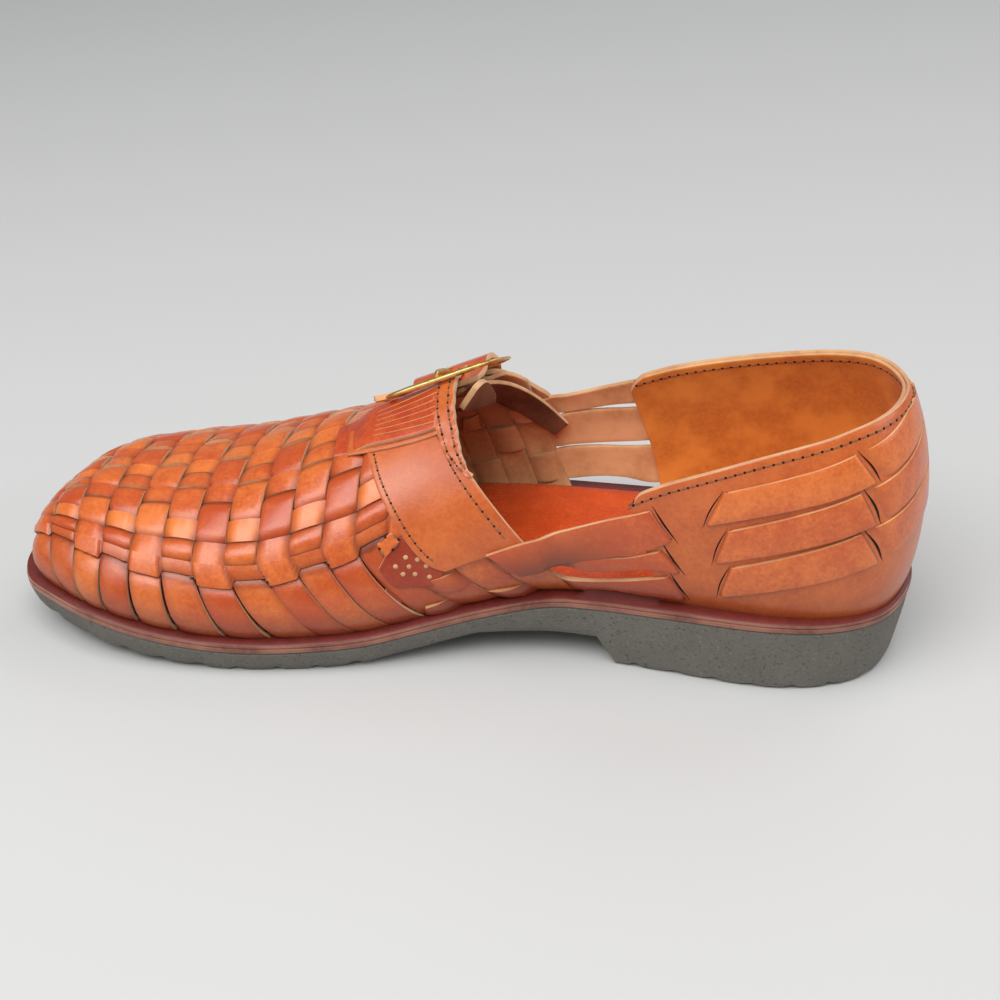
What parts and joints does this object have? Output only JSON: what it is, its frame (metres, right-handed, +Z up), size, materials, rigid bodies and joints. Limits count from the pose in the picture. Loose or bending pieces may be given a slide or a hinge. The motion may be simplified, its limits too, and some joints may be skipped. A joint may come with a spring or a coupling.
{
  "type": "huarache shoe",
  "caption": "Woven leather huarache loafer with a closed toe, a strap and side buckle over the instep, gaps at the waist, a leather welt and a grey foam rubber sole.",
  "frame": {"origin": "on the floor, under the middle of the heel's flat underside", "axes": "+X towards the toe, +Y towards the inner (medial) side of the foot, +Z up"},
  "size_m": [0.2986, 0.1053, 0.0965],
  "materials": {
    "outsole_rubber": "matt foam rubber",
    "welt_leather": "dyed edge, fuzzy",
    "insole_leather": "glossy",
    "woven_leather": "polished",
    "strap_leather": "polished",
    "patch_leather": "satin",
    "buckle_brass": "worn brass"
  },
  "bodies": {
    "root": {"outsole": "outsole_rubber", "midsole": "welt_leather", "insole": "insole_leather", "upper": "woven_leather", "instep_panel": "strap_leather", "buckle_strap": "strap_leather", "t_strap": "strap_leather", "punched_patch": "patch_leather", "strap_end": "strap_leather", "buckle_frame": "buckle_brass", "buckle_prong": "buckle_brass", "heel_band_inner_1": "strap_leather", "heel_band_outer_1": "strap_leather", "heel_band_inner_2": "strap_leather", "heel_band_outer_2": "strap_leather", "heel_band_inner_3": "strap_leather", "heel_band_outer_3": "strap_leather"}
  },
  "joints": []
}
